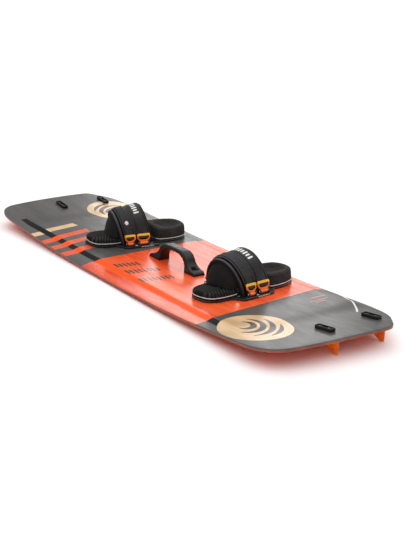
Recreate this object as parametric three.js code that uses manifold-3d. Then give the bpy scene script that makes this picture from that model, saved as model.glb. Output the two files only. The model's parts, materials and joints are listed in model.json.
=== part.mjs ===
// Twin-tip ride board with strap bindings, a grab handle and four fins.
// Millimetres, +Z up. +X runs to the rider's left tip, -Y is the toe side, +Y the heel side.
// The origin is at the middle of the footprint, on the surface that the four fin tips stand on.
import * as THREE from 'three';
import { mergeVertices } from 'three/addons/utils/BufferGeometryUtils.js';
import Module from 'manifold-3d';

const wasm = await Module();
wasm.setup();

// ---------------------------------------------------------------- driving dimensions
const GAP = 0.3; // clearance between pieces that touch

// Board
const HALF_LENGTH = 680;
const HALF_WIDTH = 233;
const ROCKER = 45; // rise of the tips above the middle
const ROCKER_POWER = 2.2;
const RAIL_THICKNESS = 8;
const PLATEAU_RISE = 4; // the middle of the deck stands this much above its edges
// Where the bevel at each edge of the raised middle starts and ends, and how far it moves out to the tips.
const BEVELS = {
  toe: { foot: 176, top: 156, spread: 30 },
  heel: { foot: 206, top: 190, spread: 0 },
};
const SPREAD_END = 480;
const PLATEAU_END = 532; // where the plateau has faded out
const PLATEAU_FADE = 56;
const SKIN = 1.2; // laminate thickness
const RAIL_WIDTH = 12;
const STATIONS = 25; // facets along the rocker, odd so that the middle one is level

// Fins and their plates
const FIN_DEPTH = 42;
const FIN_X = 600;
const FIN_Y = { toe: -25, heel: 130 };
const FIN_TIP_X = 34; // middle of the tip's flat, from the middle of the foot
const FIN_SCREW_SPACING = 28;
const FIN_FOOT = { length: 92, width: 12, height: 5 };
const FIN_PLATE = { length: 52, width: 18, height: 8, floor: 3.2, lift: 0.5 };
const FIN_HOLE = 3.2;

// Grab handle
const HANDLE_HALF_LENGTH = 105;
const HANDLE_HALF_WIDTH = 16;
const HANDLE_HEIGHT = 54;
const HANDLE_FLARE = 3;
const HANDLE_SCREW_X = 84;
const HANDLE_SEAT = 8; // height of the screw's seat in the foot

// Bindings, in a frame with +X across the foot, +Y to the heel and +Z off the deck
const STANCE_HALF = 250;
const BINDING_Y = 22;
const DUCK_ANGLE = THREE.MathUtils.degToRad(5); // toes outwards
const BINDING_LIFT = 1.2; // clears the curve of the deck
const PLATE_HEIGHT = 6;
const PLATE_HALF_WIDTH = 78; // at the wings that carry the buckles
const TOE_END = -150;
const HEEL_END = 172;
const TOE_PAD_BACK = -54;
const HEEL_PAD_FRONT = 54;
const TOE_PAD_HEIGHT = 18;
const HEEL_PAD_HEIGHT = 35;
const FOOT_BED_HEIGHT = 7;
const MOUNT_SCREW_Y = 31;
const SCREW_HOLE = 3.6;
const SCREW_DEPTH = 9;

// The strap is a stack of arches. Offsets are from the inside of the lowest one.
const ARCH = { reach: 47, back: 48, rise: 76, springing: 24 };
const ARCH_GROWTH = 0.16; // gain in height towards the back
const ARCH_LEAN = 0.3; // the strap leans to the toes
const ARCH_SHIFT = -18; // the strap's place along the foot
const ARCH_SKEW = 0.15; // its outer side sits further back than its inner side
const LINER = { from: 0, to: 6.5, front: -48, back: 48 };
const SHELL = { from: 6.9, to: 10.4, front: -38, back: 44 };
const BELTS = {
  front: { from: 10.8, to: 13.2, front: -33, back: -7 },
  rear: { from: 10.8, to: 13.2, front: 7, back: 41 },
};
const BELT_FOOT = 44; // the belts end here, just above the buckles
const BELT_X = 59; // of the belts' middle at their feet
const ARCH_SEGMENTS = 14;

// The liner runs on over the toes as a hood above the toe pad. Shares are of the arch's size.
const HOOD = [
  { y: -58, reach: 0.98, rise: 0.84 },
  { y: -68, reach: 0.93, rise: 0.6 },
  { y: -76, reach: 0.86, rise: 0.37 },
];
const HOOD_FOOT = 25.2;

// Buckles and their pins
const PIN_X = 69;
const PIN_Z = 11.5;
const PIN_RADIUS = 2;
const PIN_HOLE = 2.6;
const BARREL_RADIUS = 4.2;
const EAR_THICK = 4;
const BUCKLE_LEAN = THREE.MathUtils.degToRad(12); // inwards
const BUCKLE_HEIGHT = 27;
const BUCKLE_THICK = 4;

// ---------------------------------------------------------------- curves of the deck
function rockerAt(x) {
  return ROCKER * (Math.abs(x) / HALF_LENGTH) ** ROCKER_POWER;
}

function rockerAngle(x) {
  return Math.atan((ROCKER * ROCKER_POWER / HALF_LENGTH) * (Math.abs(x) / HALF_LENGTH) ** (ROCKER_POWER - 1));
}

function spreadAt(x, bevel) {
  return bevel.spread * Math.min(1, Math.abs(x) / SPREAD_END) ** 2;
}

function plateauAt(x, y) {
  const bevel = y < 0 ? BEVELS.toe : BEVELS.heel;
  const across = (bevel.foot + spreadAt(x, bevel) - Math.abs(y)) / (bevel.foot - bevel.top);
  const along = (PLATEAU_END - Math.abs(x)) / PLATEAU_FADE;
  return PLATEAU_RISE * THREE.MathUtils.clamp(across, 0, 1) * THREE.MathUtils.clamp(along, 0, 1);
}

function stackTop(x, y) {
  return RAIL_THICKNESS + plateauAt(x, y);
}

const FIN_ANGLE = rockerAngle(FIN_X);
const FIN_REACH = (FIN_DEPTH + GAP) * Math.cos(FIN_ANGLE) - FIN_TIP_X * Math.sin(FIN_ANGLE);
const BASE_HEIGHT = FIN_REACH - rockerAt(FIN_X); // of the base at the middle of the board

// ---------------------------------------------------------------- solids
function toSolid(geometry) {
  const bare = geometry.clone();
  bare.deleteAttribute('normal');
  bare.deleteAttribute('uv');
  const merged = mergeVertices(bare, 1e-3);
  return new wasm.Manifold(new wasm.Mesh({
    numProp: 3,
    vertProperties: new Float32Array(merged.attributes.position.array),
    triVerts: new Uint32Array(merged.index.array),
  }));
}

function toGeometry(solid) {
  const mesh = solid.getMesh();
  const geometry = new THREE.BufferGeometry();
  geometry.setAttribute('position', new THREE.BufferAttribute(mesh.vertProperties, 3));
  geometry.setIndex(new THREE.BufferAttribute(mesh.triVerts, 1));
  return geometry;
}

function cut(geometry, ...tools) {
  return toGeometry(tools.reduce((solid, tool) => solid.subtract(toSolid(tool)), toSolid(geometry)));
}

function join(...geometries) {
  return toGeometry(geometries.map(toSolid).reduce((a, b) => a.add(b)));
}

function common(a, b) {
  return toGeometry(toSolid(a).intersect(toSolid(b)));
}

function reshape(geometry, place) {
  const position = geometry.attributes.position;
  for (let i = 0; i < position.count; i += 1) {
    position.setXYZ(i, ...place(position.getX(i), position.getY(i), position.getZ(i)));
  }
  return geometry;
}

function shapeOf(points) {
  return new THREE.Shape(points.map(([x, y]) => new THREE.Vector2(x, y)));
}

function prism(shape, low, high, curveSegments = 5) {
  const depth = high - low;
  const geometry = new THREE.ExtrudeGeometry(shape, { depth, bevelEnabled: false, curveSegments });
  return geometry.translate(0, 0, low);
}

// A side view in X and Z, given a width along Y at each of its points.
function slab(shape, halfWidthAt, curveSegments = 5) {
  const options = { depth: 2, steps: 2, bevelEnabled: false, curveSegments };
  const geometry = new THREE.ExtrudeGeometry(shape, options);
  return reshape(geometry, (x, z, step) => [x, (1 - step) * halfWidthAt(x, z), z]);
}

// A prism on z = 0 whose top edge is rounded.
function cushion(shape, height, round, curveSegments = 5) {
  const geometry = new THREE.ExtrudeGeometry(shape, {
    depth: height - round,
    bevelThickness: round,
    bevelSize: round,
    bevelOffset: -round,
    bevelSegments: 1,
    curveSegments,
  });
  return cut(geometry, new THREE.BoxGeometry(1000, 1000, 100).translate(0, 0, -50));
}

function post(radius, low, high, x = 0, y = 0, sides = 8) {
  const geometry = new THREE.CylinderGeometry(radius, radius, high - low, sides);
  return geometry.rotateX(Math.PI / 2).translate(x, y, (low + high) / 2);
}

function alongY(radius, length, x, y, z, sides = 8) {
  return new THREE.CylinderGeometry(radius, radius, length, sides).translate(x, y, z);
}

function roundedBar(length, width, radius) {
  const x = length / 2 - radius;
  const y = width / 2 - radius;
  const bar = new THREE.Shape();
  bar.absarc(x, -y, radius, -Math.PI / 2, 0);
  bar.absarc(x, y, radius, 0, Math.PI / 2);
  bar.absarc(-x, y, radius, Math.PI / 2, Math.PI);
  bar.absarc(-x, -y, radius, Math.PI, Math.PI * 1.5);
  return bar;
}

// Screw with a domed head that stands on z = 0, a hexagon socket and a shank that hangs down.
function screw(headRadius, headHeight, shankRadius, length) {
  const profile = [
    [0, -length],
    [shankRadius, -length],
    [shankRadius, 0],
    [headRadius, 0],
    [headRadius, headHeight * 0.45],
    [headRadius * 0.72, headHeight],
    [0, headHeight],
  ].map(([radius, z]) => new THREE.Vector2(radius, z));
  const body = new THREE.LatheGeometry(profile, 10).rotateX(Math.PI / 2);
  return cut(body, post(headRadius * 0.42, headHeight * 0.4, headHeight + 5, 0, 0, 6));
}

// ---------------------------------------------------------------- places
const SIDES = { left: 1, right: -1 };
const PAIR = [-1, 1];

// A frame on the board's base at a fin, raised along the normal.
function finFrame(side, edge, height) {
  const frame = new THREE.Group();
  const x = FIN_X - height * Math.sin(FIN_ANGLE);
  const z = BASE_HEIGHT + rockerAt(FIN_X) + height * Math.cos(FIN_ANGLE);
  frame.position.set(side * x, FIN_Y[edge], z);
  frame.rotation.set(0, -side * FIN_ANGLE, side > 0 ? 0 : Math.PI);
  frame.updateMatrix();
  return frame;
}

function bindingFrame(side) {
  const frame = new THREE.Group();
  const height = BASE_HEIGHT + rockerAt(STANCE_HALF) + stackTop(STANCE_HALF, 0) + BINDING_LIFT;
  frame.position.set(side * STANCE_HALF, BINDING_Y, height);
  frame.rotation.set(0, -side * rockerAngle(STANCE_HALF), side * DUCK_ANGLE);
  frame.updateMatrix();
  return frame;
}

// ---------------------------------------------------------------- board
// Outline from the middle of the toe side round the left tip to the middle of the heel side, mirrored.
function boardOutline(inset = 0) {
  const half = new THREE.Path();
  half.moveTo(0, 5 - HALF_WIDTH);
  half.quadraticCurveTo(300, 3 - HALF_WIDTH, 560, -HALF_WIDTH);
  half.quadraticCurveTo(640, -HALF_WIDTH, 652, -165);
  half.quadraticCurveTo(674, -60, HALF_LENGTH - 1, 92);
  half.quadraticCurveTo(HALF_LENGTH + 1, 116, 664, 132);
  half.lineTo(628, 166);
  half.quadraticCurveTo(580, 204, 430, 217);
  half.quadraticCurveTo(220, HALF_WIDTH, 0, HALF_WIDTH);
  const left = half.getPoints(5);
  const right = left.slice(1, -1).reverse().map((point) => new THREE.Vector2(-point.x, point.y));
  const ring = [...left, ...right];
  const inner = ring.map((point, i) => {
    const before = ring.at(i - 1);
    const after = ring[(i + 1) % ring.length];
    const normal = new THREE.Vector2(after.y - before.y, before.x - after.x).normalize();
    return point.clone().addScaledVector(normal, -inset);
  });
  return new THREE.Shape(inner);
}

// A layer of the board between two heights above its base, inside the outline.
function layer(low, high, inset = 0) {
  const edge = HALF_WIDTH + 20;
  const reach = HALF_LENGTH + 20;
  const { toe, heel } = BEVELS;
  const breaks = [-edge, -toe.foot, -toe.top, heel.top, heel.foot, edge];
  const section = [...breaks.map((y) => [y, 0]), ...breaks.toReversed().map((y) => [y, 1])];
  const options = { depth: 2 * reach, steps: STATIONS, bevelEnabled: false };
  const block = new THREE.ExtrudeGeometry(shapeOf(section), options);
  reshape(block, (across, level, along) => {
    const x = along - reach;
    const spread = across < 0 ? -spreadAt(x, toe) : spreadAt(x, heel);
    const y = Math.abs(across) < edge ? across + spread : across;
    const height = level > 0.5 ? high(x, y) : low(x, y);
    return [x, y, BASE_HEIGHT + rockerAt(x) + height];
  });
  return common(block, prism(boardOutline(inset), -100, 300));
}

// A layer between the two laminates. What the deck laminate needs, with its clearance, is cut off the top.
function filling(inset) {
  const cover = layer((x, y) => stackTop(x, y) - SKIN - GAP, (x, y) => stackTop(x, y) + SKIN);
  return cut(layer(() => SKIN + GAP, stackTop, inset), cover);
}

function finHoles() {
  return Object.values(SIDES).flatMap((side) => Object.keys(FIN_Y).flatMap((edge) => PAIR.map((end) => (
    post(FIN_HOLE, -30, 30, end * FIN_SCREW_SPACING / 2).applyMatrix4(finFrame(side, edge, 0).matrix)))));
}

function deckHoles() {
  const low = BASE_HEIGHT + stackTop(0, 0) - SCREW_DEPTH;
  const handle = PAIR.map((end) => post(SCREW_HOLE, low, 100, end * HANDLE_SCREW_X));
  const bindings = Object.values(SIDES).flatMap((side) => PAIR.map((end) => (
    post(SCREW_HOLE, -SCREW_DEPTH, 30, 0, end * MOUNT_SCREW_Y).applyMatrix4(bindingFrame(side).matrix))));
  return [...handle, ...bindings];
}

function deckLaminate() {
  return cut(layer((x, y) => stackTop(x, y) - SKIN, stackTop), ...finHoles(), ...deckHoles());
}

function woodCore() {
  return cut(filling(RAIL_WIDTH + GAP), ...finHoles(), ...deckHoles());
}

function sideRail() {
  return cut(filling(0.6), prism(boardOutline(RAIL_WIDTH), -100, 300));
}

function baseLaminate() {
  return cut(layer(() => 0, () => SKIN), ...finHoles());
}

// Fin hanging from its foot; +X points to the tip of the board. Its tip is level when mounted.
function fin() {
  const tipAt = (x) => -FIN_DEPTH - (x - FIN_TIP_X) * Math.tan(FIN_ANGLE);
  const blade = new THREE.Shape();
  blade.moveTo(-44, 0);
  blade.quadraticCurveTo(-22, -10, 0, -25);
  blade.quadraticCurveTo(14, -35, FIN_TIP_X - 7, tipAt(FIN_TIP_X - 7));
  blade.lineTo(FIN_TIP_X + 7, tipAt(FIN_TIP_X + 7));
  blade.lineTo(45, 0);
  const body = slab(blade, (x, z) => 2 + 2.6 * (1 + z / FIN_DEPTH));
  const foot = new THREE.BoxGeometry(FIN_FOOT.length, FIN_FOOT.width, FIN_FOOT.height);
  foot.translate(0, 0, -FIN_FOOT.height / 2);
  const holes = PAIR.map((end) => post(3, -SCREW_DEPTH, 5, end * FIN_SCREW_SPACING / 2));
  return cut(join(body, foot), ...holes);
}

// Oblong plate over the fin's screws, with a sunk middle.
function finPlate() {
  const plate = cushion(roundedBar(FIN_PLATE.length, FIN_PLATE.width, 3.4), FIN_PLATE.height, 1.6, 2);
  const recess = prism(roundedBar(FIN_PLATE.length - 9, 11, 3), FIN_PLATE.floor, 20, 2);
  const holes = PAIR.map((end) => post(FIN_HOLE, -5, 10, end * FIN_SCREW_SPACING / 2));
  return cut(plate, recess, ...holes);
}

// Handle that runs along the board. Its feet follow the rocker.
function grabHandle() {
  const side = new THREE.Shape();
  side.moveTo(-58, 0);
  side.quadraticCurveTo(-57, 13, -47, 29);
  side.quadraticCurveTo(-39, 42, -22, 43);
  side.lineTo(22, 43);
  side.quadraticCurveTo(39, 42, 47, 29);
  side.quadraticCurveTo(57, 13, 58, 0);
  side.lineTo(HANDLE_HALF_LENGTH, 0);
  side.quadraticCurveTo(HANDLE_HALF_LENGTH + 1, 9, 94, 11);
  side.quadraticCurveTo(74, 14, 64, 33);
  side.quadraticCurveTo(54, 53, 30, HANDLE_HEIGHT);
  side.lineTo(-30, HANDLE_HEIGHT);
  side.quadraticCurveTo(-54, 53, -64, 33);
  side.quadraticCurveTo(-74, 14, -94, 11);
  side.quadraticCurveTo(-HANDLE_HALF_LENGTH - 1, 9, -HANDLE_HALF_LENGTH, 0);
  const flareAt = (x) => HANDLE_FLARE * THREE.MathUtils.smoothstep(Math.abs(x), 60, 90);
  const body = slab(side, (x) => HANDLE_HALF_WIDTH + flareAt(x), 4);
  reshape(body, (x, y, z) => [x, y, z + rockerAt(x)]);
  const seats = PAIR.flatMap((end) => [
    post(8, HANDLE_SEAT, 60, end * HANDLE_SCREW_X),
    post(SCREW_HOLE, -5, 20, end * HANDLE_SCREW_X),
  ]);
  return cut(body, ...seats);
}

// ---------------------------------------------------------------- binding
// Mirrors the right half of an outline, given from the toe to the heel, across X = 0.
function mirrored(rightHalf) {
  const points = rightHalf.getPoints(4);
  const left = points.toReversed().map((point) => new THREE.Vector2(-point.x, point.y));
  return new THREE.Shape([...points, ...left].filter((p, i, all) => p.distanceTo(all.at(i - 1)) > 0.01));
}

function basePlateOutline() {
  const half = new THREE.Path();
  half.moveTo(0, TOE_END);
  half.quadraticCurveTo(34, TOE_END, 41, TOE_END + 30);
  half.quadraticCurveTo(49, -104, 48, -88);
  half.quadraticCurveTo(52, -72, 68, -66);
  half.quadraticCurveTo(PLATE_HALF_WIDTH, -62, PLATE_HALF_WIDTH, -54);
  half.lineTo(PLATE_HALF_WIDTH, 38);
  half.quadraticCurveTo(PLATE_HALF_WIDTH, 50, 66, 54);
  half.quadraticCurveTo(54, 60, 54, 80);
  half.quadraticCurveTo(56, 118, 46, HEEL_END - 34);
  half.quadraticCurveTo(38, HEEL_END, 0, HEEL_END);
  return mirrored(half);
}

function toePadOutline() {
  const half = new THREE.Path();
  half.moveTo(0, TOE_END + 1);
  half.quadraticCurveTo(33, TOE_END + 1, 40, TOE_END + 30);
  half.quadraticCurveTo(48, -104, 45, TOE_PAD_BACK);
  half.lineTo(0, TOE_PAD_BACK);
  return mirrored(half);
}

function heelPadOutline() {
  const half = new THREE.Path();
  half.moveTo(0, HEEL_PAD_FRONT);
  half.lineTo(40, HEEL_PAD_FRONT);
  half.quadraticCurveTo(51, HEEL_PAD_FRONT, 52, HEEL_PAD_FRONT + 12);
  half.quadraticCurveTo(56, 112, 45, HEEL_END - 34);
  half.quadraticCurveTo(37, HEEL_END - 1, 0, HEEL_END - 1);
  return mirrored(half);
}

function footBed() {
  const front = TOE_PAD_BACK + 1;
  const back = HEEL_PAD_FRONT - 1;
  const bed = shapeOf([[-44, front], [44, front], [46.5, 0], [46.5, back], [-46.5, back], [-46.5, 0]]);
  const windows = PAIR.map((end) => (
    prism(roundedBar(26, 17, 8), -5, 40, 2).translate(0, end * MOUNT_SCREW_Y, 0)));
  return cut(prism(bed, 0, FOOT_BED_HEIGHT), ...windows);
}

// Where the strap's line at y, x from its middle, comes to lie. Side is 1 on the left foot.
function strapY(x, y, side) {
  return y + ARCH_SHIFT + ARCH_SKEW * side * x;
}

// The middle of a buckle on the side of the foot that sign gives.
function buckleY(belt, sign, side) {
  return strapY(sign * BELT_X, (BELTS[belt].front + BELTS[belt].back) / 2, side);
}

function barrelLength(belt) {
  return BELTS[belt].back - BELTS[belt].front - 8;
}

function pinLength(belt) {
  return barrelLength(belt) + 2 * (GAP + EAR_THICK);
}

// Two ears on the plate, one at each end of a buckle's barrel.
function ears(sign, belt, side) {
  const top = PIN_Z - PLATE_HEIGHT + 1;
  const profile = new THREE.Shape();
  profile.moveTo(7, 0);
  profile.absarc(0, top, 5.4, 0, Math.PI);
  profile.lineTo(-7, 0);
  return PAIR.map((end) => {
    const middle = buckleY(belt, sign, side) + end * (barrelLength(belt) / 2 + GAP + EAR_THICK / 2);
    const ear = prism(profile, -EAR_THICK / 2, EAR_THICK / 2, 3).rotateX(Math.PI / 2);
    return ear.translate(sign * PIN_X, middle, PLATE_HEIGHT - 1);
  });
}

function basePlate(side) {
  const plate = prism(basePlateOutline(), 0, PLATE_HEIGHT);
  const places = PAIR.flatMap((sign) => Object.keys(BELTS).map((belt) => [sign, belt]));
  const lugs = places.flatMap(([sign, belt]) => ears(sign, belt, side));
  const bores = places.map(([sign, belt]) => (
    alongY(PIN_HOLE, pinLength(belt) + 2, sign * PIN_X, buckleY(belt, sign, side), PIN_Z)));
  const wells = places.map(([sign, belt]) => {
    const length = barrelLength(belt) + 2 * GAP;
    return alongY(BARREL_RADIUS + 1.8, length, sign * PIN_X, buckleY(belt, sign, side), PIN_Z);
  });
  const slots = PAIR.map((end) => (
    prism(roundedBar(17, 7.8, 3.8), -5, 20, 2).translate(0, end * MOUNT_SCREW_Y, 0)));
  return cut(join(plate, ...lugs), ...bores, ...wells, ...slots);
}

// One layer of the strap: an arch over the foot, higher at the back and leaning to the toes.
function arch({ from, to, front, back }, side, hood = []) {
  const foot = PLATE_HEIGHT + GAP;
  const angles = [...Array(ARCH_SEGMENTS + 1).keys()].map((i) => Math.PI * i / ARCH_SEGMENTS);
  const curve = (offset) => angles.map((angle) => [
    (ARCH.reach + offset) * Math.cos(angle),
    ARCH.springing + (ARCH.rise + offset) * Math.sin(angle),
  ]);
  const line = (offset) => [
    [ARCH.reach + offset, foot],
    ...curve(offset),
    [-ARCH.reach - offset, foot],
  ];
  const section = shapeOf([...line(to), ...line(from).toReversed()]);
  const stations = [{ y: back, reach: 1, rise: 1 }, { y: front, reach: 1, rise: 1 }, ...hood];
  const steps = stations.length - 1;
  const body = new THREE.ExtrudeGeometry(section, { depth: steps, steps, bevelEnabled: false });
  return reshape(body, (across, height, step) => {
    const { y, reach, rise } = stations[Math.round(step)];
    const x = across * reach;
    const drop = height > foot + GAP ? ARCH_GROWTH * (ARCH.back - y) : 0;
    const lift = Math.max(0, height - ARCH.springing) * (rise - 1);
    const z = height - drop + lift;
    return [x, strapY(x, y, side) - ARCH_LEAN * (z - BELT_FOOT), z];
  });
}

// The innermost layer, with its hood cut off above the toe pad.
function strapLiner(side) {
  const overPad = new THREE.BoxGeometry(400, 200, 100);
  overPad.translate(0, TOE_PAD_BACK + GAP - 100, HOOD_FOOT - 50);
  return cut(arch(LINER, side, HOOD), overPad);
}

// A belt over the shell, which ends just above its two buckles.
function belt(name, side) {
  const below = new THREE.BoxGeometry(400, 400, 200).translate(0, 0, BELT_FOOT - 100);
  return cut(arch(BELTS[name], side), below);
}

// Loop that a belt folds round. The pin's axis is Y and the loop stands up along Z.
function buckle(name) {
  const top = (BELTS[name].back - BELTS[name].front) / 2 + 4;
  const waist = barrelLength(name) / 2;
  const outline = shapeOf([
    [waist, 0],
    [waist, 6],
    [top, 13],
    [top, BUCKLE_HEIGHT - 2],
    [top - 2, BUCKLE_HEIGHT],
    [2 - top, BUCKLE_HEIGHT],
    [-top, BUCKLE_HEIGHT - 2],
    [-top, 13],
    [-waist, 6],
    [-waist, 0],
  ]);
  const window = shapeOf([
    [top - 3.5, 12.5],
    [top - 3.5, BUCKLE_HEIGHT - 6.5],
    [3.5 - top, BUCKLE_HEIGHT - 6.5],
    [3.5 - top, 12.5],
  ]);
  const frame = cut(prism(outline, -BUCKLE_THICK / 2, BUCKLE_THICK / 2), prism(window, -10, 10));
  frame.rotateX(Math.PI / 2).rotateZ(Math.PI / 2);
  const barrel = alongY(BARREL_RADIUS, barrelLength(name), 0, 0, 0);
  return cut(join(frame, barrel), alongY(PIN_HOLE, 200, 0, 0, 0));
}

function bucklePin(name) {
  return alongY(PIN_RADIUS, pinLength(name), 0, 0, 0);
}

// ---------------------------------------------------------------- materials
const FINISHES = {
  deck: [0xe2502c, 0.35, 0],
  wood: [0xc9a36a, 0.7, 0],
  rail: [0x4a3a30, 0.5, 0],
  base: [0x2b2a2b, 0.4, 0],
  fin: [0xf07814, 0.3, 0],
  nylon: [0x141414, 0.45, 0],
  foam: [0x191817, 0.9, 0],
  webbing: [0x111112, 0.85, 0],
  buckle: [0xf08010, 0.35, 0],
  steel: [0xb8b8b6, 0.3, 1],
};

const board = new THREE.Group();

function add(parent, name, geometry, finish) {
  const [color, roughness, metalness] = FINISHES[finish];
  const mesh = new THREE.Mesh(geometry, new THREE.MeshStandardMaterial({ color, roughness, metalness }));
  mesh.name = name;
  parent.add(mesh);
  return mesh;
}

// ---------------------------------------------------------------- assembly
add(board, 'wood_core', woodCore(), 'wood');
add(board, 'deck_laminate', deckLaminate(), 'deck');
add(board, 'side_rail', sideRail(), 'rail');
add(board, 'base_laminate', baseLaminate(), 'base');

const handleHeight = BASE_HEIGHT + stackTop(0, 0) + GAP;
add(board, 'grab_handle', grabHandle(), 'nylon').position.z = handleHeight;

for (const [sideName, side] of Object.entries(SIDES)) {
  for (const edge of Object.keys(FIN_Y)) {
    const under = finFrame(side, edge, -GAP);
    const over = finFrame(side, edge, RAIL_THICKNESS + FIN_PLATE.lift);
    board.add(under, over);
    add(under, `fin_${sideName}_${edge}`, fin(), 'fin');
    add(over, `fin_plate_${sideName}_${edge}`, finPlate(), 'nylon');
    for (const [place, end] of [['inner', -1], ['outer', 1]]) {
      const fastener = add(over, `fin_screw_${sideName}_${edge}_${place}`, screw(4.8, 3, 2.7, 18.5), 'steel');
      fastener.position.set(end * FIN_SCREW_SPACING / 2, 0, FIN_PLATE.floor + GAP);
    }
  }

  const handleScrew = add(board, `handle_screw_${sideName}`, screw(6.8, 4, 3, 15.5), 'steel');
  handleScrew.position.set(side * HANDLE_SCREW_X, 0, handleHeight + HANDLE_SEAT + GAP);

  const binding = bindingFrame(side);
  board.add(binding);
  add(binding, `${sideName}_base_plate`, basePlate(side), 'nylon');
  const onPlate = PLATE_HEIGHT + GAP;
  add(binding, `${sideName}_foot_bed`, footBed(), 'foam').position.z = onPlate;
  const toePad = cushion(toePadOutline(), TOE_PAD_HEIGHT, 5);
  const heelPad = cushion(heelPadOutline(), HEEL_PAD_HEIGHT, 9);
  add(binding, `${sideName}_toe_pad`, toePad, 'foam').position.z = onPlate;
  add(binding, `${sideName}_heel_pad`, heelPad, 'foam').position.z = onPlate;
  add(binding, `${sideName}_strap_liner`, strapLiner(side), 'foam');
  add(binding, `${sideName}_strap_shell`, arch(SHELL, side), 'webbing');
  for (const [end, edge] of [[-1, 'toe'], [1, 'heel']]) {
    const fastener = add(binding, `${sideName}_mount_screw_${edge}`, screw(7, 4, 3, 14.4), 'steel');
    fastener.position.set(0, end * MOUNT_SCREW_Y, onPlate);
  }
  for (const name of Object.keys(BELTS)) {
    add(binding, `${sideName}_${name}_belt`, belt(name, side), 'webbing');
    for (const [place, sign] of [['outer', side], ['inner', -side]]) {
      const loop = add(binding, `${sideName}_${name}_${place}_buckle`, buckle(name), 'buckle');
      loop.position.set(sign * PIN_X, buckleY(name, sign, side), PIN_Z);
      loop.rotation.y = -sign * BUCKLE_LEAN;
      const pin = add(binding, `${sideName}_${name}_${place}_pin`, bucklePin(name), 'steel');
      pin.position.copy(loop.position);
    }
  }
}

export default board;
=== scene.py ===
"""Visual model of the twin-tip ride board: deck, fins, grab handle and two strap bindings.

Shapes are written in millimetres in the frame's own axes and scaled to metres when a mesh is made.
+X runs to the rider's left tip, -Y is the toe side and +Z is up.
"""
import json
import math

import bmesh
import bpy
import numpy as np
from mathutils import Matrix, Vector
from mathutils.geometry import delaunay_2d_cdt

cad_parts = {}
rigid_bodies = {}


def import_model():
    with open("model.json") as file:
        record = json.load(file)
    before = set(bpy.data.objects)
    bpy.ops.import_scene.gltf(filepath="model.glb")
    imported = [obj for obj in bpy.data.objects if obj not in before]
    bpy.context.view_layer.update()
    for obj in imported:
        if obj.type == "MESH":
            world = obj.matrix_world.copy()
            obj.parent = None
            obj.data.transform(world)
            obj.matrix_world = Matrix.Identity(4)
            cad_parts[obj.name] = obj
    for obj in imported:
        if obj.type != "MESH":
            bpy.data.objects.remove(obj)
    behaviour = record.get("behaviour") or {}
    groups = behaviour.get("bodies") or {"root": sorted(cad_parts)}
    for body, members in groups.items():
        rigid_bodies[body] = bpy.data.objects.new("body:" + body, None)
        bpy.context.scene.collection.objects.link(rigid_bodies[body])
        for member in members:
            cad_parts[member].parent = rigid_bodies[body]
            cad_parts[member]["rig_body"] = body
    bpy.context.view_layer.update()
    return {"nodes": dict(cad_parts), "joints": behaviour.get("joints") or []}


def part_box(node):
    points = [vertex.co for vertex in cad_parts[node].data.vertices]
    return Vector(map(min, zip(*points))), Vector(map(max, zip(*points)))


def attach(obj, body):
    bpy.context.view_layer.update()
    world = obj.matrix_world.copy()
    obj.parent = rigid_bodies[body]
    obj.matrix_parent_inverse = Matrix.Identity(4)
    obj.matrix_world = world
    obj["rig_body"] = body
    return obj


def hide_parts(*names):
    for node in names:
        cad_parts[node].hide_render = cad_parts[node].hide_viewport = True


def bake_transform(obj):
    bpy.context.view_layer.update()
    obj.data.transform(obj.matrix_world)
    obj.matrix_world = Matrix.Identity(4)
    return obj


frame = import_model()
scene = bpy.context.scene
MM = 0.001
SIDES = {"left": 1, "right": -1}
JOINTS = {joint["name"]: joint for joint in frame["joints"]}


# ---- camera
CAMERA_ANGLES = (50.949, 18.475, 3.771)
CAMERA_PLACE = (1.86071, -1.41498, 0.78810)
CAMERA_LENS = 58.95
CAMERA_SENSOR = 36


def place_camera():
    """Sets the camera by azimuth, elevation and roll."""
    azimuth, elevation, roll = (math.radians(v) for v in CAMERA_ANGLES)
    tilt = Matrix.Rotation(math.pi / 2 - elevation, 4, "X")
    turn = Matrix.Rotation(azimuth, 4, "Z") @ tilt @ Matrix.Rotation(roll, 4, "Z")
    camera = bpy.data.objects.new("camera", bpy.data.cameras.new("camera"))
    scene.collection.objects.link(camera)
    camera.matrix_world = Matrix.Translation(CAMERA_PLACE) @ turn
    camera.data.lens = CAMERA_LENS
    camera.data.sensor_width = CAMERA_SENSOR
    scene.camera = camera


# ---- materials
def map_range(tree, factor, low, high, first=0.0, last=1.0, profile="LINEAR"):
    """Maps a factor from low..high to first..last."""
    node = tree.nodes.new("ShaderNodeMapRange")
    node.interpolation_type = profile
    for key, value in zip(("From Min", "From Max", "To Min", "To Max"), (low, high, first, last)):
        node.inputs[key].default_value = value
    tree.links.new(factor, node.inputs["Value"])
    return node.outputs["Result"]


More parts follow.
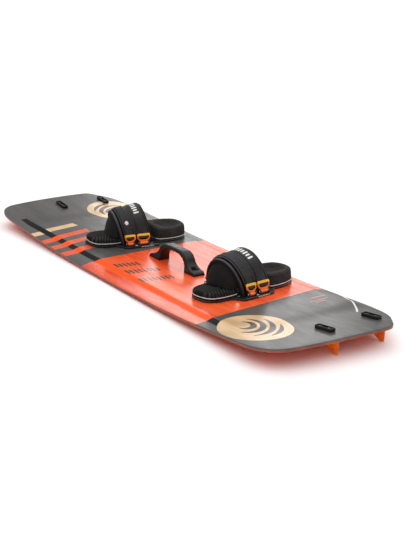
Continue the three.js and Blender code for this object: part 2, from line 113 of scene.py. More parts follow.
class Shader:
    """A Principled material with short calls for the patterns that feed it."""

    def __init__(self, name, colour, roughness, **sockets):
        self.material = bpy.data.materials.new(name)
        self.material.use_nodes = True
        self.tree = self.material.node_tree
        self.surface = self.tree.nodes["Principled BSDF"]
        self.colour = (*colour, 1)
        self.surface.inputs["Base Color"].default_value = self.colour
        self.surface.inputs["Roughness"].default_value = roughness
        for socket, value in sockets.items():
            self.surface.inputs[socket.replace("_", " ")].default_value = value
        self.place = self.node("ShaderNodeTexCoord").outputs["Object"]
        self.tint = None
        self.height = None

    def node(self, kind):
        return self.tree.nodes.new(kind)

    def link(self, out, socket):
        self.tree.links.new(out, socket)

    def scaled(self, stretch):
        """Object coordinates times one number, or one for each axis."""
        node = self.node("ShaderNodeMapping")
        node.inputs["Scale"].default_value = stretch if isinstance(stretch, tuple) else (stretch,) * 3
        self.link(self.place, node.inputs["Vector"])
        return node.outputs["Vector"]

    def noise(self, stretch, detail=4, rough=0.55, warp=0):
        node = self.node("ShaderNodeTexNoise")
        node.inputs["Scale"].default_value = 1
        node.inputs["Detail"].default_value = detail
        node.inputs["Roughness"].default_value = rough
        node.inputs["Distortion"].default_value = warp
        self.link(self.scaled(stretch), node.inputs["Vector"])
        return node.outputs["Fac"]

    def cells(self, size):
        node = self.node("ShaderNodeTexVoronoi")
        node.inputs["Scale"].default_value = 1
        self.link(self.scaled(size), node.inputs["Vector"])
        return node.outputs["Distance"]

    def wave(self, stretch, warp=0.0):
        node = self.node("ShaderNodeTexWave")
        node.inputs["Scale"].default_value = 1
        node.inputs["Distortion"].default_value = warp
        self.link(self.scaled(stretch), node.inputs["Vector"])
        return node.outputs["Fac"]

    def ramp(self, factor, *ends):
        return map_range(self.tree, factor, *ends)

    def times(self, a, b):
        node = self.node("ShaderNodeMath")
        node.operation = "MULTIPLY"
        self.link(a, node.inputs[0])
        self.link(b, node.inputs[1])
        return node.outputs[0]

    def paint(self, factor, colour, amount=1.0):
        """Mixes a colour over what is there by a factor."""
        mix = self.node("ShaderNodeMix")
        mix.data_type = "RGBA"
        weight = self.ramp(factor, 0, 1, 0, amount)
        self.link(weight, mix.inputs[0])
        if self.tint is None:
            mix.inputs[6].default_value = self.colour
        else:
            self.link(self.tint, mix.inputs[6])
        mix.inputs[7].default_value = (*colour, 1)
        self.tint = mix.outputs[2]
        self.link(self.tint, self.surface.inputs["Base Color"])

    def stain(self, colour, amount, ends, *noise):
        """Mixes a colour over what is there in the patches of a noise between two levels."""
        self.paint(self.ramp(self.noise(*noise), *ends), colour, amount)

    def roughen(self, factor, low, high):
        self.link(self.ramp(factor, 0.25, 0.75, low, high), self.surface.inputs["Roughness"])

    def bump(self, height, distance, strength=0.5):
        node = self.node("ShaderNodeBump")
        node.inputs["Strength"].default_value = strength
        node.inputs["Distance"].default_value = distance
        self.link(height, node.inputs["Height"])
        if self.height is not None:
            self.link(self.height, node.inputs["Normal"])
        self.height = node.outputs["Normal"]
        self.link(self.height, self.surface.inputs["Normal"])


def board_finish(name, colour, light, dark, grain=1.0, roughness=0.3, shine=0.35, coat=0.12):
    """Lacquered print on a wood-grained laminate, with streaks along the board."""
    shader = Shader(name, colour, roughness, Coat_Weight=coat, Coat_Roughness=0.2, Specular_IOR_Level=shine)
    broad = shader.noise((2.2, 26, 26), 5, 0.6, 0.3)
    fine = shader.noise((9, 320, 320), 4, 0.6)
    shader.paint(shader.ramp(broad, 0.42, 0.72), light, 0.75 * grain)
    shader.paint(shader.ramp(broad, 0.46, 0.28), dark, 0.6 * grain)
    shader.paint(shader.ramp(fine, 0.5, 0.68), light, 0.35 * grain)
    shader.paint(shader.ramp(fine, 0.46, 0.3), dark, 0.4 * grain)
    shader.roughen(shader.noise((14, 60, 60), 4), roughness - 0.06, roughness + 0.1)
    shader.bump(fine, 0.0002, 0.25)
    return shader.material


def plastic(name, colour, roughness, worn, speck=900, **sockets):
    shader = Shader(name, colour, roughness, **{"Specular_IOR_Level": 0.35, **sockets})
    shader.stain(worn, 0.6, (0.5, 0.78), 38, 6, 0.65)
    shader.roughen(shader.noise(120, 5), roughness - 0.08, roughness + 0.12)
    shader.bump(shader.noise(speck, 2), 0.0002, 0.35)
    return shader.material


def foam(name, colour, light):
    shader = Shader(name, colour, 0.82, Specular_IOR_Level=0.15, Sheen_Weight=0.02, Sheen_Roughness=0.5)
    pores = shader.cells(760)
    shader.paint(shader.ramp(pores, 0.35, 0.75), light, 0.7)
    shader.stain(light, 0.5, (0.48, 0.75), 26, 5)
    shader.roughen(shader.noise(60, 3), 0.72, 0.92)
    shader.bump(pores, 0.0004, 0.5)
    return shader.material


def knit(name, colour, light, pitch, roughness=0.7):
    """Stretch lining: fine rows of loops both ways."""
    shader = Shader(name, colour, roughness, Specular_IOR_Level=0.2, Sheen_Weight=0.04, Sheen_Roughness=0.4)
    rows = shader.times(shader.wave((pitch, 0.1, 0.4 * pitch)), shader.wave((0.1, pitch, 0.7 * pitch)))
    shader.paint(rows, light, 0.6)
    shader.stain(light, 0.5, (0.5, 0.8), 30, 4)
    shader.roughen(shader.noise(70, 3), roughness - 0.1, roughness + 0.1)
    shader.bump(rows, 0.0004, 0.45)
    return shader.material


def leather(name, colour, light, roughness):
    shader = Shader(name, colour, roughness, Specular_IOR_Level=0.5, Coat_Weight=0.15, Coat_Roughness=0.25)
    grain = shader.cells(420)
    shader.paint(shader.ramp(grain, 0.3, 0.8), light, 0.45)
    shader.stain(light, 0.5, (0.5, 0.8), 22, 5)
    shader.roughen(shader.noise(55, 4), roughness - 0.1, roughness + 0.14)
    shader.bump(grain, 0.0005, 0.4)
    shader.bump(shader.noise(30, 3), 0.0015, 0.35)
    return shader.material


def webbing(name, colour, light, roughness):
    shader = Shader(name, colour, roughness, Specular_IOR_Level=0.5, Sheen_Weight=0.03, Sheen_Roughness=0.35)
    weave = shader.times(shader.wave((0.2, 130, 0.2)), shader.wave((70, 0.2, 150)))
    shader.paint(weave, light, 0.55)
    shader.stain(light, 0.5, (0.5, 0.8), 40, 4)
    shader.roughen(weave, roughness + 0.08, roughness - 0.08)
    shader.bump(weave, 0.0006, 0.6)
    return shader.material


def glowing_plastic(name, colour, tip, subsurface):
    """Moulded translucent plastic, with paler patches at random: painted glow of light through the plastic.
    """
    shader = Shader(name, colour, 0.3, Subsurface_Weight=subsurface, Subsurface_Scale=0.006, Coat_Weight=0.3)
    # The tip colour is painted glow: paler noise patches standing in for light shining through the plastic.
    shader.stain(tip, 0.7, (0.4, 0.7), (28, 28, 42), 4)
    shader.stain(tip, 0.25, (0.55, 0.75), 140, 3)
    shader.roughen(shader.noise(80, 4), 0.22, 0.4)
    shader.bump(shader.noise(500, 2), 0.0002, 0.2)
    return shader.material


def wood(name, colour, light, dark):
    shader = Shader(name, colour, 0.38, Coat_Weight=0.3, Coat_Roughness=0.15)
    rings = shader.wave((1.6, 46, 10), 5.5)
    fine = shader.noise((14, 520, 520), 5, 0.6)
    shader.paint(shader.ramp(rings, 0.35, 0.9), dark, 0.5)
    shader.paint(shader.ramp(fine, 0.45, 0.7), dark, 0.35)
    shader.stain(light, 0.6, (0.45, 0.7), (3, 30, 30), 3)
    shader.roughen(fine, 0.32, 0.46)
    shader.bump(fine, 0.0002, 0.25)
    return shader.material


def metal(name, colour, roughness):
    shader = Shader(name, colour, roughness, Metallic=1.0)
    worn = [0.6 * value for value in colour]
    shader.stain(worn, 0.6, (0.45, 0.75), 180, 4)
    shader.roughen(shader.noise((260, 260, 900), 3), roughness - 0.08, roughness + 0.15)
    shader.bump(shader.noise((900, 900, 200), 2), 0.0001, 0.3)
    return shader.material


GREY = board_finish("deck_grey", (0.066, 0.064, 0.059), (0.108, 0.104, 0.096), (0.036, 0.034, 0.032), 0.7,
                    0.38)
PANEL = board_finish("deck_panel", (0.8, 0.066, 0.011), (0.94, 0.15, 0.036), (0.48, 0.022, 0.004), 1.4)
BEVEL = board_finish("deck_bevel", (0.005, 0.005, 0.006), (0.012, 0.012, 0.014), (0.002, 0.002, 0.002), 0.6,
                     0.5, 0.1, 0)
GLOW = board_finish("deck_bevel_panel", (0.92, 0.08, 0.004), (0.98, 0.13, 0.012), (0.7, 0.04, 0.003), 0.8,
                    0.4, 0.1, 0)
STRIPE = board_finish("deck_stripe", (0.76, 0.07, 0.018), (0.88, 0.14, 0.05), (0.54, 0.034, 0.01), 1.2)
MAPLE = wood("deck_maple", (0.7, 0.47, 0.25), (0.82, 0.62, 0.38), (0.5, 0.29, 0.13))
INK = board_finish("deck_ink", (0.045, 0.033, 0.028), (0.08, 0.06, 0.05), (0.02, 0.016, 0.014), 0.6)
RED_INK = board_finish("deck_red_ink", (0.42, 0.07, 0.045), (0.5, 0.14, 0.1), (0.3, 0.05, 0.03), 0.6)
CREAM = board_finish("deck_cream", (0.78, 0.72, 0.6), (0.88, 0.84, 0.74), (0.6, 0.54, 0.42), 0.6)
RAIL = board_finish("rail_brown", (0.17, 0.075, 0.055), (0.3, 0.14, 0.1), (0.05, 0.026, 0.02), 0.9, 0.45)
BASE = board_finish("base_panel", (0.75, 0.09, 0.035), (0.9, 0.2, 0.1), (0.55, 0.04, 0.015), 1.0, 0.28)
CORE = wood("core_wood", (0.56, 0.37, 0.19), (0.7, 0.5, 0.28), (0.36, 0.2, 0.09))
NYLON = plastic("nylon_black", (0.006, 0.006, 0.0065), 0.34, (0.016, 0.016, 0.017))
HANDLE = plastic("handle_satin", (0.006, 0.0062, 0.0065), 0.36, (0.016, 0.016, 0.017), 700)
PLATE = plastic("plate_black", (0.006, 0.006, 0.007), 0.24, (0.02, 0.021, 0.025), 500, Coat_Weight=0.5)
EVA = foam("pad_foam", (0.014, 0.013, 0.0124), (0.05, 0.046, 0.042))
# Near-black foam for the pads' groove floors: painted shade in the recesses.
GROOVE_SHADE = foam("pad_groove_painted_shade", (0.002, 0.002, 0.002), (0.005, 0.005, 0.005))
BED = foam("bed_foam", (0.012, 0.012, 0.0125), (0.03, 0.03, 0.031))
LINING = knit("strap_lining", (0.0055, 0.0055, 0.006), (0.015, 0.015, 0.017), 500)
SHELL = leather("strap_shell", (0.006, 0.006, 0.007), (0.016, 0.016, 0.018), 0.36)
BELT = webbing("belt_webbing", (0.007, 0.007, 0.0082), (0.022, 0.022, 0.026), 0.42)
# Paler webbing for the strap's ridges: painted highlight where they catch the light.
RIDGE_HIGHLIGHT = webbing("ridge_painted_highlight", (0.028, 0.028, 0.031), (0.06, 0.06, 0.066), 0.4)
PIPING = plastic("pinstripe_grey", (0.62, 0.62, 0.6), 0.5, (0.42, 0.42, 0.41))
# White for printed marks and ticks, and for the painted reflection dot on the front belts.
WHITE_PRINT_AND_REFLECTION = plastic("white_print_and_reflection", (0.8, 0.8, 0.78), 0.45, (0.6, 0.6, 0.58))
STEEL = metal("steel", (0.55, 0.55, 0.54), 0.3)
BLACK_STEEL = metal("steel_black", (0.045, 0.045, 0.047), 0.3)
# Paler amber for the buckles' top bars: painted light on their upper side.
AMBER_PAINTED_LIGHT = glowing_plastic("buckle_amber_painted_light", (1.0, 0.5, 0.03), (1.0, 0.66, 0.12), 0.2)
ORANGE = glowing_plastic("buckle_orange", (1.0, 0.15, 0.006), (1.0, 0.24, 0.012), 0.25)
FIN = glowing_plastic("fin_orange", (0.95, 0.17, 0.01), (1.0, 0.34, 0.015), 0.6)
DECK_FINISHES = [GREY, PANEL, BEVEL, GLOW, STRIPE, MAPLE, INK, RED_INK, CREAM]


# ---- curves and meshes
def bend(start, control, end, steps):
    """Points on a quadratic curve, both ends included."""
    t = np.linspace(0, 1, steps + 1)[:, None]
    return (1 - t) ** 2 * np.array(start) + 2 * t * (1 - t) * np.array(control) + t * t * np.array(end)


def curve(start, *moves, steps=8):
    """Points along straight moves (x, y) and quadratic moves (control x, control y, x, y)."""
    points = [start]
    for move in moves:
        if len(move) == 2:
            points.append(move)
        else:
            points += [tuple(p) for p in bend(points[-1], move[:2], move[2:], steps)[1:]]
    return points


def mirrored(half):
    """Closes a right half, given from the lowest Y to the highest, across X = 0."""
    ring = list(half) + [(-x, y) for x, y in reversed(half)]
    kept = [p for i, p in enumerate(ring) if math.dist(p, ring[i - 1]) > 0.05]
    return np.array(kept, float)


def resampled(loop, spacing):
    """A closed loop with extra points, so that no edge is longer than the spacing."""
    points = []
    for a, b in zip(loop, np.roll(loop, -1, 0)):
        count = max(1, math.ceil(math.dist(a, b) / spacing))
        points += [a + (b - a) * k / count for k in range(count)]
    return np.array(points)


def outward(loop):
    tangent = np.roll(loop, -1, 0) - np.roll(loop, 1, 0)
    normal = np.stack([tangent[:, 1], -tangent[:, 0]], 1)
    return normal / np.maximum(np.linalg.norm(normal, axis=1), 1e-9)[:, None]


def inset(loop, distance):
    return loop - outward(loop) * distance


def rounded(corners, radius, steps=4):
    """A polygon with quadratic corners."""
    corners = [np.array(c, float) for c in corners]
    points = []
    for i, corner in enumerate(corners):
        before, after = corners[i - 1] - corner, corners[(i + 1) % len(corners)] - corner
        reach = min(radius, 0.45 * np.linalg.norm(before), 0.45 * np.linalg.norm(after))
        a = corner + before / np.linalg.norm(before) * reach
        b = corner + after / np.linalg.norm(after) * reach
        points += list(bend(a, corner, b, steps))
    return np.array(points)


def bar(length, width, radius, steps=8):
    """A rectangle with round corners, centred on the origin."""
    points = []
    for quarter, (sx, sy) in enumerate(((1, -1), (1, 1), (-1, 1), (-1, -1))):
        for k in range(steps + 1):
            angle = math.radians(90 * (quarter - 1) + 90 * k / steps)
            points.append((sx * (length / 2 - radius) + radius * math.cos(angle),
                           sy * (width / 2 - radius) + radius * math.sin(angle)))
    return np.array(points)


def circle(radius, x=0.0, y=0.0, sides=32):
    angles = np.arange(sides) * 2 * math.pi / sides
    return np.stack([x + radius * np.cos(angles), y + radius * np.sin(angles)], 1)


def inside(points, polygon):
    """Which of the points lie in a polygon."""
    points = np.asarray(points, float)
    x, y = points[:, 0], points[:, 1]
    found = np.zeros(len(points), bool)
    for (x0, y0), (x1, y1) in zip(polygon, np.roll(polygon, -1, 0)):
        if y0 != y1:
            crosses = (y0 > y) != (y1 > y)
            found ^= crosses & (x < (x1 - x0) * (y - y0) / (y1 - y0) + x0)
    return found


def smooth(value, low, high):
    t = np.clip((value - low) / (high - low), 0, 1)
    return t * t * (3 - 2 * t)


def make(name, verts, faces, materials, indices=None, at=None, angle=35):
    """A mesh object from millimetres, moved by a matrix in metres."""
    mesh = bpy.data.meshes.new(name)
    mesh.from_pydata([tuple(v) for v in np.asarray(verts, float) * MM], [], [tuple(f) for f in faces])
    work = bmesh.new()
    work.from_mesh(mesh)
    if indices is not None:
        for face, index in zip(work.faces, indices):
            face.material_index = int(index)
    bmesh.ops.recalc_face_normals(work, faces=work.faces)
    work.to_mesh(mesh)
    work.free()
    if at is not None:
        mesh.transform(at)
    for material in materials if isinstance(materials, list) else [materials]:
        mesh.materials.append(material)
    mesh.shade_smooth()
    mesh.set_sharp_from_angle(angle=math.radians(angle))
    piece = bpy.data.objects.new(name, mesh)
    scene.collection.objects.link(piece)
    return piece


def loft_parts(rings, closed=False, start=0):
    """Vertices and faces of a skin over rings of equal length, capped unless it closes on itself."""
    rings = [np.asarray(ring, float) for ring in rings]
    count, n = len(rings), len(rings[0])
    verts = np.concatenate(rings)
    faces = []
    for i in range(count if closed else count - 1):
        j = (i + 1) % count
        for k in range(n):
            m = (k + 1) % n
            faces.append([start + v for v in (i * n + k, i * n + m, j * n + m, j * n + k)])
    if not closed:
        faces.append([start + k for k in range(n)])
        faces.append([start + (count - 1) * n + k for k in range(n)])
    return verts, faces


def merge(*parts):
    """One list of vertices and faces from several closed skins."""
    verts, faces = [], []
    for part_verts, part_faces in parts:
        start = sum(len(v) for v in verts)
        verts.append(np.asarray(part_verts, float))
        faces += [[start + v for v in face] for face in part_faces]
    return np.concatenate(verts), faces


def solid(loop, levels):
    """A flat outline raised through (inset, height) levels."""
    loop = np.asarray(loop, float)
    return loft_parts([np.column_stack([inset(loop, d), np.full(len(loop), float(z))]) for d, z in levels])


def turned(parts, matrix):
    """A part moved by a matrix in millimetres."""
    verts, faces = parts
    rotation, shift = np.array(matrix.to_3x3()), np.array(matrix.translation)
    return np.asarray(verts) @ rotation.T + shift, faces


def sheet(name, outline, rims, top, low, spacing, materials, art=(), rows=(), at=None, choose=None, angle=35):
    """A closed slab over an outline whose upper side is a height field.

    rims are (inset, share, lift): share runs from 0 on the lower side to 1 on the upper one.
    art is a list of polygons that the mesh's edges follow, and choose picks a finish for each face.
    """
    outline = np.asarray(outline, float)
    start = rims[0][0]
    edge = inset(outline, start)
    points, links = [], []
    for polygon in (edge, *art):
        first, n = len(points), len(polygon)
        points += [Vector(p) for p in polygon]
        links += [(first + i, first + (i + 1) % n) for i in range(n)]
    xs, ys = (np.arange(a + step / 2, b, step) for a, b, step in zip(edge.min(0), edge.max(0), spacing))
    grid = np.stack(np.meshgrid(xs, np.sort(np.concatenate([ys, rows]))), -1).reshape(-1, 2)
    points += [Vector(p) for p in grid[inside(grid, inset(outline, start + 0.35 * min(spacing)))]]
    flat, _, tris, *_ = delaunay_2d_cdt(points, links, [], 0, 1e-4)
    flat, tris = np.array(flat), np.array(tris)
    tris = tris[inside(flat[tris].mean(1), edge)]
    kinds = choose(flat[tris].mean(1)) if choose else np.zeros(len(tris), int)
    faces, indices = tris.tolist(), list(kinds)

    sides = {(a, b): kind for tri, kind in zip(faces, kinds) for a, b in zip(tri, tri[1:] + tri[:1])}
    rim_next = {a: b for a, b in sides if (b, a) not in sides}
    walk = [next(iter(rim_next))]
    for _ in range(len(rim_next) - 1):
        walk.append(rim_next[walk[-1]])
    if len(set(walk)) != len(walk) or rim_next[walk[-1]] != walk[0]:
        raise ValueError(f"{name}: the edge is not one loop, {len(set(walk))} of {len(walk)}")
    loop = flat[walk]
    normals = outward(loop)
    count = len(flat)
    under = count + len(walk) * (len(rims) - 1)
    rings = [walk] + [list(range(first, first + len(walk))) for first in range(count, under, len(walk))]
    rings.append([under + v for v in walk])
    for upper, lower in zip(rings, rings[1:]):
        for i in range(len(walk)):
            j = (i + 1) % len(walk)
            faces.append([upper[i], lower[i], lower[j], upper[j]])
            indices.append(sides[walk[i], walk[j]])
    faces += [[under + v for v in reversed(tri)] for tri in tris.tolist()]
    indices += list(kinds)

    verts = [np.column_stack([flat, top(*flat.T)])]
    for distance, share, lift in rims[1:]:
        ring = loop + normals * (start - distance)
        high, bottom = top(*ring.T), low(*ring.T)
        verts.append(np.column_stack([ring, bottom + (high - bottom) * share + lift]))
    verts.append(np.column_stack([flat, low(*flat.T)]))
    used, numbers = np.unique(np.concatenate(faces), return_inverse=True)
    faces = np.split(numbers, np.cumsum([len(face) for face in faces])[:-1])
    return make(name, np.concatenate(verts)[used], faces, materials, indices, at, angle)


def finish(piece, body, slot, *nodes):
    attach(piece, body)
    if nodes:
        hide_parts(*nodes)
    return piece


def place(name, parts, material, body, slot, *nodes, **options):
    """Makes a piece that rides on a body and stands for the named nodes."""
    return finish(make(name, *parts, material, **options), body, slot, *nodes)


def lathe(levels, z=0.0, sides=32):
    """A round bar along Y from (radius, y) levels, at a height."""
    return loft_parts([np.column_stack([circle(radius, sides=sides)[:, 0], np.full(sides, y),
                                        z + circle(radius, sides=sides)[:, 1]]) for radius, y in levels])


def cut_away(piece, outline, levels, at=None):
    """Cuts the solid over an outline out of a piece."""
    cutter = make("cutter", *solid(outline, levels), piece.data.materials[0], at=at)
    cut = piece.modifiers.new("cut", "BOOLEAN")
    cut.object = cutter
    cut.operation = "DIFFERENCE"
    graph = bpy.context.evaluated_depsgraph_get()
    mesh = bpy.data.meshes.new_from_object(piece.evaluated_get(graph))
    piece.modifiers.clear()
    piece.data = mesh
    bpy.data.objects.remove(cutter)


# ---- board
HALF_LENGTH = 680
ROCKER = 45
ROCKER_POWER = 2.2
THICKNESS = 8
SKIN = 1.2
DECK_RISE = 4
BEVEL_END = 532
GAP = 0.3
FIN_X = 600
FIN_Y = {"toe": -25, "heel": 130}
FIN_DEPTH = 42
FIN_SCREW_X = 14
HANDLE_HALF = 105
HANDLE_SCREW_X = 84
BASE_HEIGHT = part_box("base_laminate")[0].z / MM


def rocker(x):
    return ROCKER * (np.abs(x) / HALF_LENGTH) ** ROCKER_POWER


def rocker_angle(x):
    return math.atan(ROCKER * ROCKER_POWER / HALF_LENGTH * (abs(x) / HALF_LENGTH) ** (ROCKER_POWER - 1))


def bevel_lines(x, y):
    """How far from the middle line the bevel's foot and top are, on the side of the board that y is on."""
    spread = 30 * np.minimum(1, np.abs(x) / 480) ** 2
    return np.where(y < 0, 176 + spread, 206), np.where(y < 0, 156 + spread, 190)


def deck_top(x, y):
    foot, top = bevel_lines(x, y)
    across = np.clip((foot - np.abs(y)) / (foot - top), 0, 1)
    along = smooth(-np.abs(x), -BEVEL_END, -470)
    return BASE_HEIGHT + rocker(x) + THICKNESS + DECK_RISE * across * along


def base_low(x, y):
    return BASE_HEIGHT + rocker(x)


BOARD = mirrored(curve(
    (0, -228), (300, -230, 560, -233), (640, -233, 652, -165), (674, -60, 679, 92), (681, 116, 664, 132),
    (628, 166), (580, 204, 430, 217), (220, 233, 0, 233), steps=22))

PANEL_AREA = np.array([(-116, -250), (-140, -192), (-165, 250), (346, 250), (384, -190), (392, -250)], float)
STRIPES = [np.array(points, float) for points in (
    [(-348, -250), (-319, -250), (-362, -60), (-388, -60)],
    [(-294, -250), (-266, -250), (-303, -84), (-330, -84)],
    [(-238, -250), (-207, -250), (-236, -108), (-263, -112)],
)]
BEIGE = np.array([(-412, -250), (-386, -250), (-420, -68), (-443, -76)], float)


def bevel_band(sign):
    """The outline of the bevel on one side of the board."""
    along = np.linspace(-BEVEL_END, BEVEL_END, 61)
    foot, top = bevel_lines(along, np.full(len(along), float(sign)))
    return np.concatenate([np.column_stack([along, sign * top]), np.column_stack([along, sign * foot])[::-1]])


BEVELS = [bevel_band(sign) for sign in (1, -1)]
CENTRES = {1: (493, -140), -1: (-508, 118)}
CIRCLE_RADIUS = 88
EMBLEM_SHIFT = np.array((-26.0, -14.0))
# Radius, width, and start and end in degrees of each arc.
EMBLEM_ARCS = ((24, 12, -60, 150), (46, 12, -45, 130), (68, 12, -20, 95), (88, 9, 5, 62))
# The first block's x, length and y, and the count, of each row.
BLOCK_ROWS = ((-74, 27, -150, 6), (-15, 29, -152, 8), (57, 27, -156, 8))
BLOCK_PITCH = np.array((2, 12.5))


def crescent(x, y, radius, width, start, end, steps=14):
    """A curved bar that tapers to its ends."""
    angles = np.radians(np.linspace(start, end, steps))
    swell = np.sin(np.linspace(0, math.pi, steps)) * width / 2 + 1.5
    rays = np.stack([np.cos(angles), np.sin(angles)])
    outer, inner = ((x, y) + (rays * (radius + way * swell)).T for way in (1, -1))
    return np.concatenate([outer, inner[::-1]])


def emblem(side):
    """Four tapering arcs round one centre, point mirrored from tip to tip."""
    turn = 0 if side > 0 else 180
    middle = CENTRES[side] + EMBLEM_SHIFT * side
    return [crescent(*middle, radius, width, turn + start, turn + end)
            for radius, width, start, end in EMBLEM_ARCS]


def block_marks():
    """Three rows of plain parallel bars."""
    marks = []
    for x, length, first, count in BLOCK_ROWS:
        marks += [bar(length, 7, 1, 2) + (x, first) + BLOCK_PITCH * k for k in range(count)]
    return marks


def arc_line():
    """The thin pale line from the panel to the heel fin's plate."""
    path = np.array(curve((352, 222), (430, 226, 484, 190), (520, 168, 546, 140), steps=12))
    tangent = np.gradient(path, axis=0)
    normal = np.stack([-tangent[:, 1], tangent[:, 0]], 1) / np.linalg.norm(tangent, axis=1)[:, None]
    return np.concatenate([path + normal * 2.4, (path - normal * 2.4)[::-1]])


CIRCLES = [circle(CIRCLE_RADIUS, *CENTRES[side], 72) for side in (1, -1)]
EMBLEMS = [shape for side in (1, -1) for shape in emblem(side)]
BLOCKS = block_marks()
RED_BARS = [bar(5, 52, 1, 2) + (404, 150), bar(4, 62, 1, 2) + (424, 132), bar(4, 34, 1, 2) + (436, 126)]
ARC = arc_line()


kind_of = DECK_FINISHES.index


def deck_finish(points):
    """Which of the deck's finishes a point has."""
    kinds = np.zeros(len(points), int)

    def colour(*layers):
        for shapes, material in layers:
            for shape in shapes:
                kinds[inside(points, shape)] = kind_of(material)

    colour(([PANEL_AREA], PANEL), (STRIPES, STRIPE), ([BEIGE], MAPLE))
    on_bevel = inside(points, BEVELS[1])
    kinds[on_bevel & np.isin(kinds, (kind_of(GREY), kind_of(MAPLE)))] = kind_of(BEVEL)
    kinds[on_bevel & np.isin(kinds, (kind_of(PANEL), kind_of(STRIPE)))] = kind_of(GLOW)
    colour((CIRCLES, MAPLE), (EMBLEMS + BLOCKS, INK), (RED_BARS, RED_INK), ([ARC], CREAM))
    return kinds


def build_board():
    """Deck, base and rail. The wood core stays as it is, with a material of its own."""
    art = [resampled(p, 14) for p in (PANEL_AREA, *STRIPES, BEIGE)]
    art += [*BEVELS, *CIRCLES, *EMBLEMS, *BLOCKS, *RED_BARS, ARC]
    outline = resampled(BOARD, 12)
    rims = [(1.8, 1, 0), (0.9, 1, -0.15), (0.25, 1, -0.6), (0, 1, -1.3), (0.3, 1, -1.5)]
    heel_bevel_rows = (188.5, 191, 194, 198, 202, 205, 207.5)

    def deck_low(x, y):
        return deck_top(x, y) - SKIN - GAP

    def base_top(x, y):
        return base_low(x, y) + SKIN

    deck = sheet("board_deck", outline, rims, deck_top, deck_low, (13, 13), DECK_FINISHES, art,
                 heel_bevel_rows, choose=deck_finish, angle=25)
    finish(deck, "board", "deck", "deck_laminate")
    base_rims = [(0.4, 1, 0), (0.1, 1, -0.1), (0.15, 0.5, 0), (0.9, 0.1, 0), (1.6, 0, 0)]
    base = sheet("board_base", outline, base_rims, base_top, base_low, (26, 26), BASE)
    finish(base, "board", "base", "base_laminate")

    def ring(distance, share):
        loop = inset(outline, distance)
        low = base_top(loop[:, 0], loop[:, 1])
        high = BASE_HEIGHT + rocker(loop[:, 0]) + THICKNESS - SKIN - GAP
        return np.column_stack([loop, low + (high - low) * share])

    section = ((12, 0.02), (0.5, 0.02), (0.15, 0.2), (0, 0.5), (0.15, 0.8), (0.5, 0.98), (12, 0.98))
    rings = [ring(*level) for level in section]
    place("board_rail", loft_parts(rings, closed=True), RAIL, "board", "rail", "side_rail")
    core = frame["nodes"]["wood_core"]
    core.data.materials.clear()
    core.data.materials.append(CORE)


def build_handle():
    """An arch with flared feet, lofted along X between its outer and inner line."""
    x0 = HANDLE_HALF
    height = BASE_HEIGHT + THICKNESS + DECK_RISE + GAP
    outer = curve((-x0, 0.4), (-x0 - 1, 9, -94, 11), (-74, 14, -64, 33), (-54, 53, -30, 54),
                  (0, 54.8, 30, 54), (54, 53, 64, 33), (74, 14, 94, 11), (x0 + 1, 9, x0, 0.4), steps=10)
    inner = curve((-x0, 0), (-84, 0, -58, 0), (-57, 13, -53, 20), (-47, 38, -22, 43),
                  (0, 43.8, 22, 43), (47, 38, 53, 20), (57, 13, 58, 0), (84, 0, x0, 0), steps=10)
    rings = []
    for (ax, az), (bx, bz) in zip(outer, inner):
        half = 16 + 3 * float(smooth(abs(ax), 60, 92)) - 1.2 * float(smooth(-abs(ax), -50, -10))
        thick = max(0.8, math.dist((ax, az), (bx, bz)))
        loop = bar(2 * half, thick, min(3.4, thick * 0.42), 5)
        share = loop[:, 1] / thick + 0.5
        x, z = bx + (ax - bx) * share, bz + (az - bz) * share
        crown = 0.7 * (1 - (loop[:, 0] / half) ** 2) * (share > 0.6)
        rings.append(np.column_stack([x, loop[:, 0], z + height + rocker(x) + crown]))
    handle = make("handle", *loft_parts(rings), HANDLE, angle=50)
    for side in (1, -1):
        levels = [(0, height + 8 + rocker(HANDLE_SCREW_X)), (0, height + 40)]
        cut_away(handle, circle(8, side * HANDLE_SCREW_X, 0), levels)
    finish(handle, "board", "nylon", "grab_handle")


def screw_parts(head, height, shank, length):
    """A domed screw with a hexagon socket, its head on z = 0."""
    hexagon = circle(head * 0.42, sides=6)
    socket = np.array([hexagon[k // 5] + (hexagon[(k // 5 + 1) % 6] - hexagon[k // 5]) * (k % 5) / 5
                       for k in range(30)])
    rings = [np.column_stack([circle(r, sides=30), np.full(30, z)]) for r, z in (
        (shank, -length), (shank, 0), (head - 0.3, 0), (head, height * 0.12), (head, height * 0.45),
        (head * 0.93, height * 0.75), (head * 0.78, height * 0.95), (head * 0.6, height))]
    rings += [np.column_stack([socket, np.full(30, z)]) for z in (height, height * 0.4)]
    return loft_parts(rings)


def fin_matrix(side, edge, height):
    """The frame of a fin, at a height over the base's lower face."""
    angle = rocker_angle(FIN_X)
    x = FIN_X - height * math.sin(angle)
    z = BASE_HEIGHT + rocker(FIN_X) + height * math.cos(angle)
    turn = Matrix.Rotation(-side * angle, 4, "Y") @ Matrix.Rotation(0 if side > 0 else math.pi, 4, "Z")
    return Matrix.Translation((side * x, FIN_Y[edge], z)) @ turn


def in_metres(matrix):
    """A matrix in millimetres with its shift in metres."""
    scaled = matrix.copy()
    scaled.translation = matrix.translation * MM
    return scaled


